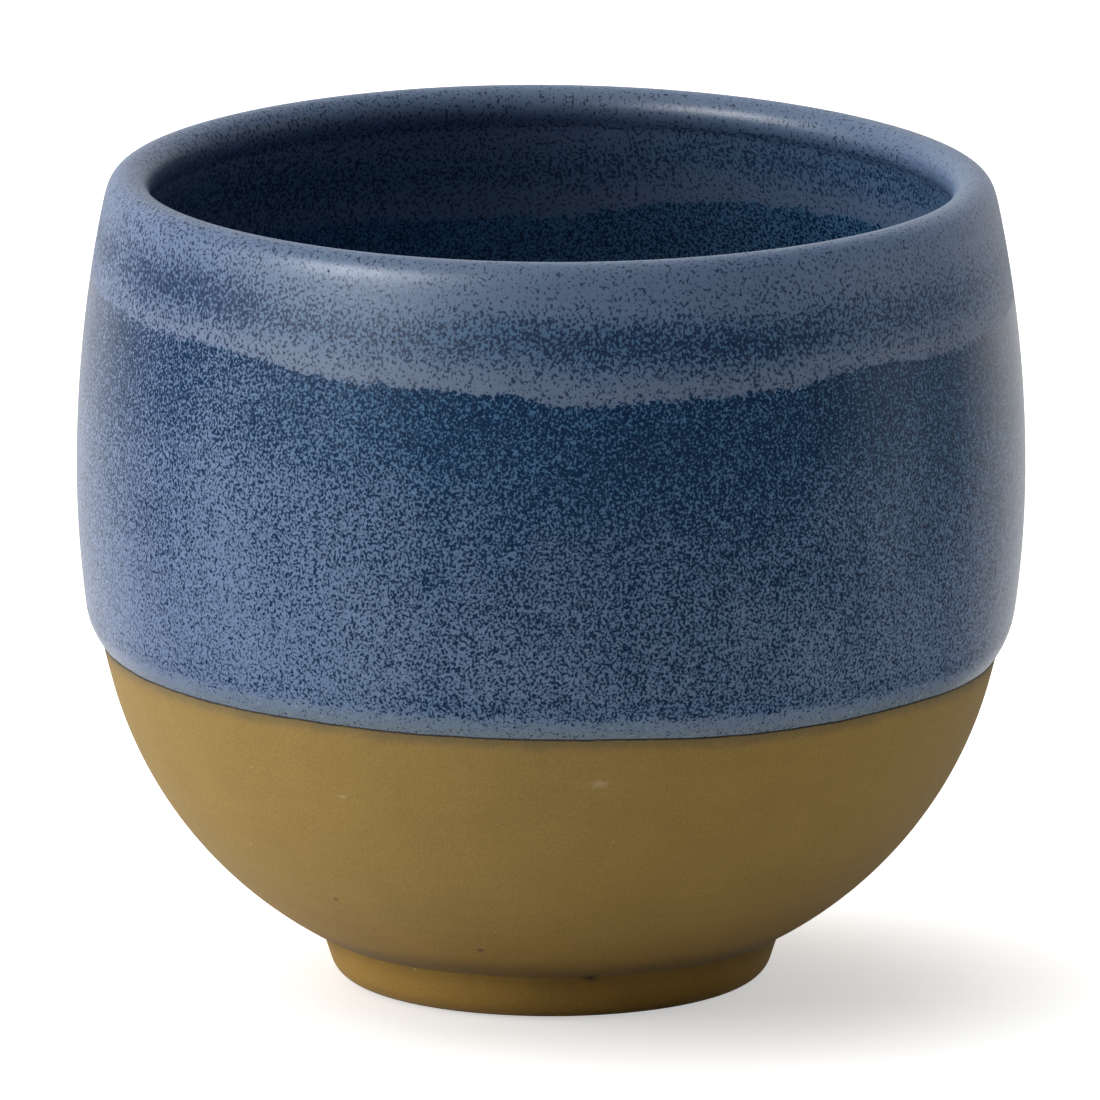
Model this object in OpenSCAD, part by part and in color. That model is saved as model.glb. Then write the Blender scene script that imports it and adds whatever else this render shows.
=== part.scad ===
// Tea cup without a handle: a round stoneware bowl on a foot ring, glazed inside and, outside,
// down to a rolled edge below the belly, with a second dip of glaze over the lip.
// Millimetres. +Z is up and the origin is the centre of the resting plane.

/* [Bowl] */
// Widest diameter of the bare clay, at the belly
belly_d = 84.9; // [76:0.1:100]
// Height of the belly's widest ring above the resting plane
belly_z = 47.2; // [43:0.1:54]
// Height of the bare clay at the top of the lip
clay_h = 73.65; // [70:0.05:90]
// Thickness of the clay wall
wall_t = 2.4; // [1.8:0.1:3.5]
// Thickness of the clay floor inside the foot
floor_t = 4.7; // [3:0.1:8]
// Radius of the curve that the wall follows below the belly
shoulder_r = 73.3; // [68:0.1:90]
// Radius of the round underside between the shoulder and the foot
underside_r = 37.1; // [33:0.1:42]
// Radius of the curve between the wall and the floor inside the cup
floor_r = 27; // [20:0.5:31]

/* [Lip] */
// How far the outside draws in between the belly and the lip
lip_inset = 2.65; // [1:0.05:8]
// How much thicker than the wall the round lip is
lip_swell = 0.5; // [0.2:0.05:1.5]

/* [Foot ring] */
// Diameter of the foot where it meets the bowl
foot_d = 41.6; // [34:0.1:46]
// Height of the foot, which is also the depth of the recess inside it
foot_h = 4.3; // [3.5:0.1:6]
// Width of the ring where it meets the bowl
foot_w = 6.1; // [5.5:0.1:9]
// Radius of the rounded outer edge
foot_round = 2.6; // [1:0.1:3]
// Radius of the rounded inner edge
foot_inner_round = 0.8; // [0.3:0.1:1.2]
// How far the outer side leans in towards the bottom
foot_taper = 0.7; // [0.2:0.1:1.2]
// How far the inner side leans out towards the bottom
foot_draft = 0.6; // [0.2:0.1:1]

/* [Glaze] */
// Thickness of the glaze on the wall
glaze_t = 0.55; // [0.4:0.05:1]
// Thickness of the second dip, which takes the place of as much of the first coat
dip_t = 0.25; // [0.15:0.01:0.3]
// How much thicker the outer glaze is where it ran down to its lower edge
run_t = 0.25; // [0.05:0.01:0.4]
// Height of the lower edge of the outer glaze
glaze_z = 30.85; // [24:0.05:36]
// Height of the rolled lower edge, from its tip to where the coat runs straight
bead_h = 3.6; // [2.5:0.1:5]
// How far below the top of the clay the second dip ends, inside and outside
lap_drop = 11.15; // [8:0.05:16]

/* [Hidden] */

$fn = 256;

// How far an arc stands proud of the flatter arc that it runs into, so that the two cross
proud = 0.002;
// How far a band of an arc reaches into the next band
overlap = 2;
// Share of a length at which its middle lies
half_share = 0.5;
// Share of its own size to which the region that a round edge takes off is drawn
cut_share = 2;
// Length that reaches past every part of the cup, for the regions that only trim a profile
reach = clay_h + belly_d;

belly_r = belly_d * half_share;
foot_r = foot_d * half_share;
lip_r = (wall_t + lip_swell) * half_share;
lip_z = clay_h - lip_r;
lap_z = clay_h - lap_drop;
floor_z = foot_h + floor_t;
first_t = glaze_t - dip_t;

// Radius of an arc that leaves the vertical and draws in by `sag` over the height `rise`
function sag_radius(rise, sag) = (rise * rise + sag * sag) / (sag + sag);

// Half width of a circle at the distance `rise` from its middle
function half_chord(radius, rise) = sqrt(radius * radius - rise * rise);

// Point where the circles round `a` and `b` meet, on the left of the line from `a` to `b`
function meeting(a, a_radius, b, b_radius) =
    let (
        gap = norm(b - a),
        along = (b - a) / gap,
        foot = (gap + (a_radius - b_radius) * (a_radius + b_radius) / gap) * half_share
    )
    a + along * foot + [-along[1], along[0]] * half_chord(a_radius, foot);

// Point where the line from `p` touches the circle round `middle`, on the side given by `side`
function touch(p, middle, radius, side) =
    let (
        gap = norm(middle - p),
        along = (middle - p) / gap,
        run = half_chord(gap, radius)
    )
    p + (along * run + [-along[1], along[0]] * radius * side) * run / gap;

// Point where the line from `a` through `b` reaches the resting plane
function at_table(a, b) = a + (b - a) * a[1] / (a[1] - b[1]);

// Arc of the wall above the belly
upper_r = sag_radius(lip_z - belly_z, lip_inset);
upper_c = [belly_r - upper_r, belly_z];

// Middle of the round lip, which touches the outside of the upper arc
lip_c = [upper_c[0] + half_chord(upper_r - lip_r, lip_z - belly_z), lip_z];
lip_sine = (lip_z - belly_z) / (upper_r - lip_r);

// Arc of the wall just below the belly
shoulder_c = [belly_r - shoulder_r, belly_z];

// Arc of the underside, which touches the shoulder and ends on the foot
crease = [foot_r, foot_h];
underside_c = meeting(shoulder_c, shoulder_r - underside_r, crease, underside_r);
underside_sine = (belly_z - underside_c[1]) / (shoulder_r - underside_r);

// Arc of the inside between the wall and the floor, which touches both
hollow_r = shoulder_r - wall_t;
floor_c = [shoulder_c[0] + half_chord(hollow_r - floor_r, belly_z - floor_z - floor_r), floor_z + floor_r];
floor_sine = (belly_z - floor_c[1]) / (hollow_r - floor_r);

// Height at which the clay outside passes from the shoulder to the underside
shoulder_end_z = belly_z - shoulder_r * underside_sine;

// Radius of the clay outside at the height `z`, below the belly
function clay_radius(z) =
    z > shoulder_end_z
        ? shoulder_c[0] + half_chord(shoulder_r, belly_z - z)
        : underside_c[0] + half_chord(underside_r, underside_c[1] - z);

// Arc of the outer glaze below the belly, which thickens down to the rolled edge
bead_top_z = glaze_z + bead_h;
bead_top = [clay_radius(bead_top_z) + glaze_t + run_t, bead_top_z];
run_r = sag_radius(belly_z - bead_top_z, belly_r + glaze_t - bead_top[0]);
run_c = [belly_r + glaze_t - run_r, belly_z];

// Arc of the rolled edge, which goes on from the run and ends on the clay
glaze_tip = [clay_radius(glaze_z), glaze_z];
bead_out = (bead_top - run_c) / run_r;
bead_chord = bead_top - glaze_tip;
bead_r = bead_chord * bead_chord / (bead_out * bead_chord) * half_share;
bead_c = bead_top - bead_out * bead_r;

// Middles of the two rounded edges of the foot
foot_edge = [foot_r - foot_taper - foot_round, foot_round];
foot_inner_r = foot_r - foot_w;
foot_inner_edge = [foot_inner_r + foot_draft + foot_inner_round, foot_inner_round];

// Part of a disc between two heights, on the outer side of the axis
module band(middle, radius, low, high) {
    intersection() {
        translate(middle)
            circle(r = radius);
        translate([0, low])
            square([reach, high - low]);
    }
}

// Round lip of the clay grown by `grow`
module lip(grow) {
    translate(lip_c)
        circle(r = lip_r + grow + proud);
}

// Everything inside the outside of the clay above the belly, grown by `grow`
module upper_outline(grow) {
    band(upper_c, upper_r + grow, belly_z, belly_z + (upper_r + grow) * lip_sine);
    lip(grow);
}

// Everything inside the outside of the clay, grown by `grow`
module outline(grow) {
    end_z = belly_z - (shoulder_r + grow) * underside_sine;
    upper_outline(grow);
    band(shoulder_c, shoulder_r + grow + proud, end_z, belly_z + overlap);
    band(underside_c, underside_r + grow + proud + proud, foot_h, end_z + overlap);
}

// Space inside the clay, shrunk by `shrink`
module hollow(shrink) {
    end_z = belly_z - (hollow_r - shrink) * floor_sine;
    difference() {
        band(upper_c, upper_r - wall_t - shrink, belly_z, reach);
        lip(shrink);
    }
    band(shoulder_c, hollow_r - shrink + proud, end_z, belly_z + overlap);
    band(floor_c, floor_r - shrink + proud + proud, floor_z + shrink, end_z + overlap);
    translate([0, floor_z + shrink])
        square([floor_c[0], floor_r - shrink]);
}

// Wall of the clay with a coat of the thickness `coat` on both sides
module wall(coat) {
    difference() {
        outline(coat);
        hollow(coat);
    }
}

// Second dip over the lip
module dip() {
    intersection() {
        difference() {
            wall(glaze_t);
            wall(first_t);
        }
        translate([0, lap_z])
            square([reach, reach]);
    }
}

// Side of the wall that the inner glaze covers, up to the crest of the lip
module inside() {
    hollow(0);
    translate([0, lip_z])
        square([lip_c[0], reach]);
}

module clay_bowl() {
    color("tan")
        rotate_extrude()
            wall(0);
}

// What a round edge takes off the corner of a section, where the circle touches the side at `side`
module edge_cut(middle, radius, side, corner) {
    difference() {
        polygon(concat([middle], [for (p = [side, corner, [middle[0], 0]]) middle + (p - middle) * cut_share]));
        translate(middle)
            circle(r = radius + proud);
    }
}

module foot_ring() {
    inner_crease = [foot_inner_r, foot_h];
    side = touch(crease, foot_edge, foot_round, 1);
    inner_side = touch(inner_crease, foot_inner_edge, foot_inner_round, -1);
    corner = at_table(crease, side);
    inner_corner = at_table(inner_crease, inner_side);
    color("sienna")
        rotate_extrude()
            difference() {
                polygon([inner_crease, crease, corner, inner_corner]);
                edge_cut(foot_edge, foot_round, side, corner);
                edge_cut(foot_inner_edge, foot_inner_round, inner_side, inner_corner);
            }
}

module inner_glaze() {
    color("slategray")
        rotate_extrude()
            difference() {
                intersection() {
                    inside();
                    outline(glaze_t);
                }
                hollow(glaze_t);
                wall(0);
                dip();
            }
}

module outer_glaze() {
    color("steelblue")
        rotate_extrude()
            difference() {
                union() {
                    upper_outline(glaze_t);
                    band(run_c, run_r + proud, bead_top_z, belly_z + overlap);
                    band(bead_c, bead_r + proud + proud, glaze_z - overlap, bead_top_z + overlap);
                }
                outline(0);
                inside();
                dip();
            }
}

module rim_glaze() {
    color("lightsteelblue")
        rotate_extrude()
            dip();
}

clay_bowl();
foot_ring();
inner_glaze();
outer_glaze();
rim_glaze();
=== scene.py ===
"""Looks of the tea cup: turned stoneware and its glaze coats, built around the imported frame.

Lengths are in metres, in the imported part's own frame: +Z runs up the cup's axis, the origin is the
middle of the foot on the table, and -Y faces the viewer.
"""

import logging
import math
from dataclasses import dataclass, field
from enum import Enum
from typing import Optional, Union

import bpy
import numpy as np
from mathutils import Matrix, Vector


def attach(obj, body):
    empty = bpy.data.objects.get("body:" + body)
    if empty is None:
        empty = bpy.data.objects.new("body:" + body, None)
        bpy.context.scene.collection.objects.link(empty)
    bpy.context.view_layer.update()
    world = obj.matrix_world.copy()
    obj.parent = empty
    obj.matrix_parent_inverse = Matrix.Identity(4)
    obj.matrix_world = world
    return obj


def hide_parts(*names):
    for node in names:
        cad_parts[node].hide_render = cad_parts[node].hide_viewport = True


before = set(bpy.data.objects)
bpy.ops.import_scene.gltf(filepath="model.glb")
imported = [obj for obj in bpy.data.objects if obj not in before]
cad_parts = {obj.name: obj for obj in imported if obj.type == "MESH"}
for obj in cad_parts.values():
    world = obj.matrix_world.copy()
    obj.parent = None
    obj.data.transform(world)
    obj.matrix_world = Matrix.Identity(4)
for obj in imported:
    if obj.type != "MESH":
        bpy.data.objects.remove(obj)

log = logging.getLogger("tea_cup")

BODY = "root"
PER_MM = 1000.0
SAME_POINT = 1e-7
LEAST_ARC_POINTS = 4
Colour = tuple[float, float, float]
Place = tuple[float, float, float]
Points = tuple[tuple[float, float], ...]
Marks = tuple[tuple[float, float, float, float], ...]
Waves = tuple[tuple[int, float, float], ...]


class Slot(Enum):
    """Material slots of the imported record."""

    STONEWARE = "stoneware"
    BLUE_GLAZE = "blue_glaze"
    RIM_GLAZE = "rim_glaze"


class Ending(Enum):
    """How the section of a turned piece closes: on itself, or on the axis at both ends."""

    RING = "ring"
    AXIS = "axis"


class Axis(Enum):
    """Axes of the part's frame, by their place in a point."""

    X = 0
    Y = 1
    Z = 2


class Value:
    """A number that changes over a surface: a socket whose arithmetic adds Math nodes."""

    def __init__(self, recipe: "Recipe", socket: bpy.types.NodeSocket) -> None:
        """Wraps the output `socket` of a node in `recipe`."""
        self.recipe = recipe
        self.socket = socket

    def math(self, operation: str, *terms: "Number", clamp: bool = False) -> "Value":
        """Adds one Math node.

        Args:
            operation: Blender's name of the operation.
            terms: The operands, this value among them where it is one.
            clamp: Whether the result is held between 0 and 1.

        Returns:
            The result.
        """
        sockets = dict(enumerate(terms))
        made = self.recipe.node("ShaderNodeMath", {"operation": operation, "use_clamp": clamp}, sockets)
        return Value(self.recipe, made.outputs[0])

    def __add__(self, other: "Number") -> "Value":
        """Sum."""
        return self.math("ADD", self, other)

    __radd__ = __add__

    def __sub__(self, other: "Number") -> "Value":
        """Difference."""
        return self.math("SUBTRACT", self, other)

    def __rsub__(self, other: "Number") -> "Value":
        """Difference from a plain number."""
        return self.math("SUBTRACT", other, self)

    def __mul__(self, other: "Number") -> "Value":
        """Product."""
        return self.math("MULTIPLY", self, other)

    __rmul__ = __mul__

    def __truediv__(self, other: "Number") -> "Value":
        """Quotient."""
        return self.math("DIVIDE", self, other)

    def __rtruediv__(self, other: "Number") -> "Value":
        """Quotient of a plain number."""
        return self.math("DIVIDE", other, self)

    def __neg__(self) -> "Value":
        """Opposite."""
        return self.math("MULTIPLY", self, -1.0)

    def clamp(self) -> "Value":
        """This value held between 0 and 1."""
        return self.math("ADD", self, 0.0, clamp=True)

    def root(self) -> "Value":
        """Square root."""
        return self.math("SQRT", self)

    def cosine(self) -> "Value":
        """Cosine of an angle in radians."""
        return self.math("COSINE", self)

    def above(self, low: float, high: float) -> "Value":
        """Smooth step from 0 at `low` to 1 at `high`, or the other way round where `low` is higher."""
        made = self.recipe.node(
            "ShaderNodeMapRange",
            {"interpolation_type": "SMOOTHSTEP"},
            {"Value": self, "From Min": low, "From Max": high},
        )
        return Value(self.recipe, made.outputs["Result"])

    def near(self, middle: float, width: float) -> "Value":
        """Smooth hump of height 1 at `middle`, gone at the distance `width` from it."""
        return self.math("ABSOLUTE", self - middle).above(width, 0.0)

    def along(self, points: Points, low: float, high: float) -> "Value":
        """Curve through points whose first numbers rise.

        Args:
            points: Pairs of this value and the result.
            low: The lowest result that the curve reaches.
            high: The highest result that the curve reaches.

        Returns:
            The result.
        """
        start, end = points[0][0], points[-1][0]
        stops = [((x - start) / (end - start), (y - low) / (high - low)) for x, y in points]
        share = (self - start) / (end - start)
        made = self.recipe.node("ShaderNodeFloatCurve", {"curve": stops}, {"Value": share})
        return Value(self.recipe, made.outputs["Value"]) * (high - low) + low


Number = Union[Value, float, int]


class Recipe:
    """Node tree of a finish or of the surroundings."""

    def __init__(self, owner: Union[bpy.types.Material, bpy.types.World]) -> None:
        """Empties the node tree of `owner`."""
        owner.use_nodes = True
        self.tree = owner.node_tree
        self.tree.nodes.clear()

    def node(
        self, kind: str, settings: Optional[dict] = None, sockets: Optional[dict] = None
    ) -> bpy.types.Node:
        """Adds a node.

        Args:
            kind: Blender's name of the node type.
            settings: Properties of the node, and `curve` for the points of a curve.
            sockets: A number, colour, value or output socket for each input, by name or place.

        Returns:
            The node.
        """
        made = self.tree.nodes.new(kind)
        for name, setting in (settings or {}).items():
            if name == "curve":
                self._bend(made, setting)
            else:
                setattr(made, name, setting)
        by_identifier = {socket.identifier: socket for socket in made.inputs}
        for key, given in (sockets or {}).items():
            socket = by_identifier.get(key) or made.inputs[key]
            source = given.socket if isinstance(given, Value) else given
            if isinstance(source, bpy.types.NodeSocket):
                self.tree.links.new(source, socket)
            else:
                socket.default_value = source
        return made

    @staticmethod
    def _bend(made: bpy.types.Node, stops: Points) -> None:
        """Sets the points of a curve node.

        Args:
            made: The node.
            stops: The points, from 0 to 1 both ways.
        """
        curve = made.mapping.curves[0]
        while len(curve.points) < len(stops):
            curve.points.new(0.5, 0.5)
        for point, (x, y) in zip(curve.points, stops):
            point.location = (x, y)
        made.mapping.update()

    def vector(self, operation: str, sockets: dict) -> bpy.types.NodeSocket:
        """Output of one Vector Math node."""
        return self.node("ShaderNodeVectorMath", {"operation": operation}, sockets).outputs["Vector"]

    def mix(self, share: Number, first: object, second: object, blend: str = "MIX") -> bpy.types.NodeSocket:
        """Blends two colours.

        Args:
            share: How much of the second colour shows.
            first: A colour or an output socket.
            second: A colour or an output socket.
            blend: Blender's name of the way of blending.

        Returns:
            The output socket of the blend.
        """
        first, second = (c if isinstance(c, bpy.types.NodeSocket) else (*c, 1.0) for c in (first, second))
        settings = {"data_type": "RGBA", "blend_type": blend}
        sockets = {"Factor_Float": share, "A_Color": first, "B_Color": second}
        made = self.node("ShaderNodeMix", settings, sockets)
        return next(socket for socket in made.outputs if socket.identifier == "Result_Color")

    def grey(self, level: Value) -> bpy.types.NodeSocket:
        """A grey of the given level, as a colour."""
        made = self.node("ShaderNodeCombineColor", {}, {"Red": level, "Green": level, "Blue": level})
        return made.outputs["Color"]

    def place(self) -> bpy.types.NodeSocket:
        """Point of the surface in the part's frame, in millimetres."""
        seen = self.node("ShaderNodeTexCoord").outputs["Object"]
        return self.vector("SCALE", {"Vector": seen, "Scale": PER_MM})

    def split(self, place: bpy.types.NodeSocket) -> tuple[Value, Value, Value]:
        """The three coordinates of a point."""
        made = self.node("ShaderNodeSeparateXYZ", {}, {"Vector": place})
        return tuple(Value(self, made.outputs[axis]) for axis in "XYZ")

    def stretch(self, place: bpy.types.NodeSocket, by: Optional[Place]) -> bpy.types.NodeSocket:
        """The point with each coordinate scaled by its own number, or as it is where there are none."""
        return self.vector("MULTIPLY", {0: place, 1: by}) if by else place

    def surface(
        self, colour: bpy.types.NodeSocket, rough: Number, height: Value, depth: float, constants: dict
    ) -> None:
        """Finishes the tree with the surface shader.

        Args:
            colour: The base colour.
            rough: The roughness.
            height: Relief of the surface.
            depth: Depth of a relief of 1, in metres.
            constants: Values of the shader's other sockets.
        """
        bump = self.node("ShaderNodeBump", {}, {"Strength": 1.0, "Distance": depth, "Height": height})
        sockets = {"Base Color": colour, "Roughness": rough, "Normal": bump.outputs["Normal"], **constants}
        shader = self.node("ShaderNodeBsdfPrincipled", {}, sockets)
        self.node("ShaderNodeOutputMaterial", {}, {"Surface": shader.outputs["BSDF"]})


@dataclass(frozen=True)
class Ramp:
    """A smooth step in a value: nothing at `low`, and `amount` from `high` on, which may be the lower one."""

    low: float
    high: float
    amount: float = 1.0

    def of(self, value: Value) -> Value:
        """The step at a value."""
        return value.above(self.low, self.high) * self.amount


@dataclass(frozen=True)
class Hump:
    """A smooth hump in a value: `amount` at `middle`, and gone at the distance `width` from it."""

    middle: float
    width: float
    amount: float = 1.0

    def of(self, value: Value) -> Value:
        """The hump at a value."""
        return value.near(self.middle, self.width) * self.amount


@dataclass(frozen=True)
class Cloud:
    """Cloudy unevenness about 0, `scale` clouds to the millimetre, with finer layers, stretched or not."""

    scale: float
    amount: float = 1.0
    layers: float = 2.0
    rough: float = 0.5
    twist: float = 0.0
    stretch: Optional[Place] = None

    def over(self, recipe: Recipe, place: bpy.types.NodeSocket) -> Value:
        """Adds the unevenness to a tree.

        Args:
            recipe: The tree.
            place: Where it is read, in millimetres.

        Returns:
            The unevenness.
        """
        made = recipe.node("ShaderNodeTexNoise", {}, {
            "Vector": recipe.stretch(place, self.stretch),
            "Scale": self.scale,
            "Detail": self.layers,
            "Roughness": self.rough,
            "Distortion": self.twist,
        })
        return (Value(recipe, made.outputs["Fac"]) - 0.5) * self.amount


@dataclass(frozen=True)
class Specks:
    """Round dots, one in some cells of a scattered grid.

    There are `scale` cells to the millimetre. Up to `share` of them have a dot, and `sure` of those a clear
    one. Its radius is at most `size` of a cell and at least `least` of that, and its `core` is full. Its
    colour covers `amount` of what lies under it.
    """

    scale: float
    size: float
    share: float
    amount: float
    stretch: Optional[Place] = None
    least: float = 0.4
    sure: float = 0.4
    core: float = 0.55

    def over(self, recipe: Recipe, place: bpy.types.NodeSocket) -> Value:
        """Adds the dots to a tree.

        Args:
            recipe: The tree.
            place: Where they are read, in millimetres.

        Returns:
            1 in a dot and 0 outside.
        """
        sockets = {"Vector": recipe.stretch(place, self.stretch), "Scale": self.scale}
        cells = recipe.node("ShaderNodeTexVoronoi", {}, sockets)
        chance = recipe.node("ShaderNodeSeparateColor", {}, {"Color": cells.outputs["Color"]})
        picked = Value(recipe, chance.outputs["Red"]).above(self.share, self.share * self.sure)
        growth = Value(recipe, chance.outputs["Green"]) * (1 - self.least) + self.least
        distance = Value(recipe, cells.outputs["Distance"]) / (growth * self.size)
        return distance.above(1.0, self.core) * picked


@dataclass(frozen=True)
class Section:
    """Half section of the cup: the arcs that the clay and its coats follow, in metres."""

    belly_r: float = 0.04245
    belly_z: float = 0.0472
    clay_h: float = 0.07365
    wall_t: float = 0.0024
    floor_t: float = 0.0047
    shoulder_r: float = 0.0733
    underside_r: float = 0.0371
    floor_r: float = 0.027
    lip_inset: float = 0.00265
    lip_swell: float = 0.0005
    foot_r: float = 0.0208
    foot_h: float = 0.0043
    glaze_t: float = 0.00055
    dip_t: float = 0.00025
    run_t: float = 0.00025
    glaze_z: float = 0.03085
    bead_h: float = 0.0036
    lap_drop: float = 0.01115
    edge_waves: Waves = (
        (1, 0.00028, 1.6), (2, 0.00024, 1.6), (4, 0.00006, -1.5), (5, 0.00004, 1.8), (6, 0.00007, 1.5),
        (7, 0.00007, -0.8), (9, 0.00004, -1.5), (17, 0.00002, 3.3), (31, 0.00001, 0.4), (52, 0.00001, 5.1),
    )
    lip_waves: Waves = ((0, 0.00010, 0.0), (1, 0.00024, 1.25), (2, 0.00010, -0.6), (3, 0.00009, 3.1))

    @property
    def lip_r(self) -> float:
        """Radius of the round lip of the clay."""
        return (self.wall_t + self.lip_swell) / 2

    @property
    def lip_z(self) -> float:
        """Height of the middle of the lip."""
        return self.clay_h - self.lip_r

    @property
    def lap_z(self) -> float:
        """Height of the lower edge of the second dip."""
        return self.clay_h - self.lap_drop

    @property
    def first_t(self) -> float:
        """Thickness of the first coat under the second."""
        return self.glaze_t - self.dip_t

    @property
    def floor_z(self) -> float:
        """Height of the clay floor inside."""
        return self.foot_h + self.floor_t

    @property
    def upper_r(self) -> float:
        """Radius of the arc above the belly."""
        rise = self.lip_z - self.belly_z
        return (rise * rise + self.lip_inset * self.lip_inset) / (2 * self.lip_inset)

    @property
    def upper_c(self) -> np.ndarray:
        """Middle of the arc above the belly."""
        return np.array((self.belly_r - self.upper_r, self.belly_z))

    @property
    def lip_c(self) -> np.ndarray:
        """Middle of the round lip."""
        rise = self.lip_z - self.belly_z
        reach = math.sqrt((self.upper_r - self.lip_r) ** 2 - rise * rise)
        return np.array((self.upper_c[0] + reach, self.lip_z))

    @property
    def lip_angle(self) -> float:
        """Angle at which the lip goes on from the arc above the belly."""
        return math.asin((self.lip_z - self.belly_z) / (self.upper_r - self.lip_r))

    @property
    def shoulder_c(self) -> np.ndarray:
        """Middle of the arc just below the belly."""
        return np.array((self.belly_r - self.shoulder_r, self.belly_z))

    @property
    def underside_c(self) -> np.ndarray:
        """Middle of the arc of the underside, which touches the shoulder and ends on the foot."""
        crease = np.array((self.foot_r, self.foot_h))
        return circle_meeting(self.shoulder_c, self.shoulder_r - self.underside_r, crease, self.underside_r)

    @property
    def underside_angle(self) -> float:
        """Angle at which the underside goes on from the shoulder."""
        drop = self.belly_z - self.underside_c[1]
        return -math.asin(drop / (self.shoulder_r - self.underside_r))

    @property
    def floor_c(self) -> np.ndarray:
        """Middle of the arc between the wall and the floor inside."""
        reach = self.shoulder_r - self.wall_t - self.floor_r
        drop = self.belly_z - self.floor_z - self.floor_r
        out = self.shoulder_c[0] + math.sqrt(reach * reach - drop * drop)
        return np.array((out, self.floor_z + self.floor_r))

    @property
    def floor_angle(self) -> float:
        """Angle at which the curve to the floor goes on from the wall inside."""
        return -math.asin((self.belly_z - self.floor_c[1]) / (self.shoulder_r - self.wall_t - self.floor_r))

    def clay_radius(self, height: np.ndarray) -> np.ndarray:
        """Radius of the clay outside.

        Args:
            height: Heights below the belly.

        Returns:
            The radius at each height.
        """
        height = np.asarray(height, float)
        change = self.belly_z + self.shoulder_r * math.sin(self.underside_angle)
        rise = np.maximum(self.shoulder_r ** 2 - (height - self.belly_z) ** 2, 0)
        fall = np.maximum(self.underside_r ** 2 - (height - self.underside_c[1]) ** 2, 0)
        shoulder = self.shoulder_c[0] + np.sqrt(rise)
        return np.where(height > change, shoulder, self.underside_c[0] + np.sqrt(fall))

    def outside(self, coat: float, low_z: float, step: float) -> np.ndarray:
        """Outside of the clay with a coat, from a height up to the crest of the lip.

        Args:
            coat: Thickness of the coat.
            low_z: Height at which the line starts.
            step: Distance between its points.

        Returns:
            Points of radius and height.
        """
        runs = []
        turn = self.underside_angle
        start = math.asin(max(-1.0, (low_z - self.underside_c[1]) / (self.underside_r + coat)))
        if start < turn:
            runs.append(arc(self.underside_c, self.underside_r + coat, start, turn, step))
        start = math.asin(max(math.sin(turn), min(0.0, (low_z - self.belly_z) / (self.shoulder_r + coat))))
        if start < 0:
            runs.append(arc(self.shoulder_c, self.shoulder_r + coat, start, 0.0, step))
        start = math.asin(max(0.0, (low_z - self.belly_z) / (self.upper_r + coat)))
        runs.append(arc(self.upper_c, self.upper_r + coat, start, self.lip_angle, step))
        runs.append(arc(self.lip_c, self.lip_r + coat, self.lip_angle, math.pi / 2, step))
        return joined(runs)

    def inside(self, coat: float, low_z: float, step: float) -> np.ndarray:
        """Inside of the clay with a coat, from the crest of the lip down to a height or to the axis.

        Args:
            coat: Thickness of the coat.
            low_z: Height at which the line ends, or 0 for one that ends on the axis.
            step: Distance between its points.

        Returns:
            Points of radius and height.
        """
        wall = self.upper_r - self.wall_t - coat
        crease = circle_meeting(self.lip_c, self.lip_r + coat, self.upper_c, wall)
        end = math.atan2(crease[1] - self.lip_c[1], crease[0] - self.lip_c[0]) % (2 * math.pi)
        runs = [arc(self.lip_c, self.lip_r + coat, math.pi / 2, end, step)]
        start = math.asin((crease[1] - self.belly_z) / wall)
        stop = max(0.0, (low_z - self.belly_z) / wall)
        runs.append(arc(self.upper_c, wall, start, math.asin(stop), step))
        if low_z < self.belly_z:
            lower = self.shoulder_r - self.wall_t - coat
            runs.append(arc(self.shoulder_c, lower, 0.0, self.floor_angle, step))
            runs.append(arc(self.floor_c, self.floor_r - coat, self.floor_angle, -math.pi / 2, step))
            count = max(2, round(self.floor_c[0] / step))
            flat = np.linspace(self.floor_c[0], 0.0, count)
            runs.append(np.column_stack((flat, np.full(count, self.floor_z + coat))))
        return joined(runs)

    def run(self, step: float) -> np.ndarray:
        """Outer glaze below the belly, from the tip of its rolled edge up to the belly.

        Args:
            step: Distance between the points.

        Returns:
            Points of radius and height.
        """
        top_z = self.glaze_z + self.bead_h
        top = np.array((float(self.clay_radius(top_z)) + self.glaze_t + self.run_t, top_z))
        rise, sag = self.belly_z - top_z, self.belly_r + self.glaze_t - top[0]
        radius = (rise * rise + sag * sag) / (2 * sag)
        middle = np.array((self.belly_r + self.glaze_t - radius, self.belly_z))
        tip = np.array((float(self.clay_radius(self.glaze_z)), self.glaze_z))
        outward = (top - middle) / radius
        chord = top - tip
        roll = float(chord @ chord) / float(outward @ chord) / 2
        roll_c = top - outward * roll
        start = math.atan2(tip[1] - roll_c[1], tip[0] - roll_c[0])
        bend = math.atan2(outward[1], outward[0])
        return joined([arc(roll_c, roll, start, bend, step / 2), arc(middle, radius, bend, 0.0, step)])


def wander(waves: Waves, turn: np.ndarray) -> np.ndarray:
    """Sum of waves round the cup, each with its count, size and phase."""
    return sum(size * np.cos(count * turn + phase) for count, size, phase in waves)


def smooth(share: np.ndarray) -> np.ndarray:
    """The share held between 0 and 1, with a soft start and a soft end."""
    share = np.clip(share, 0, 1)
    return share * share * (3 - 2 * share)


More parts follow.
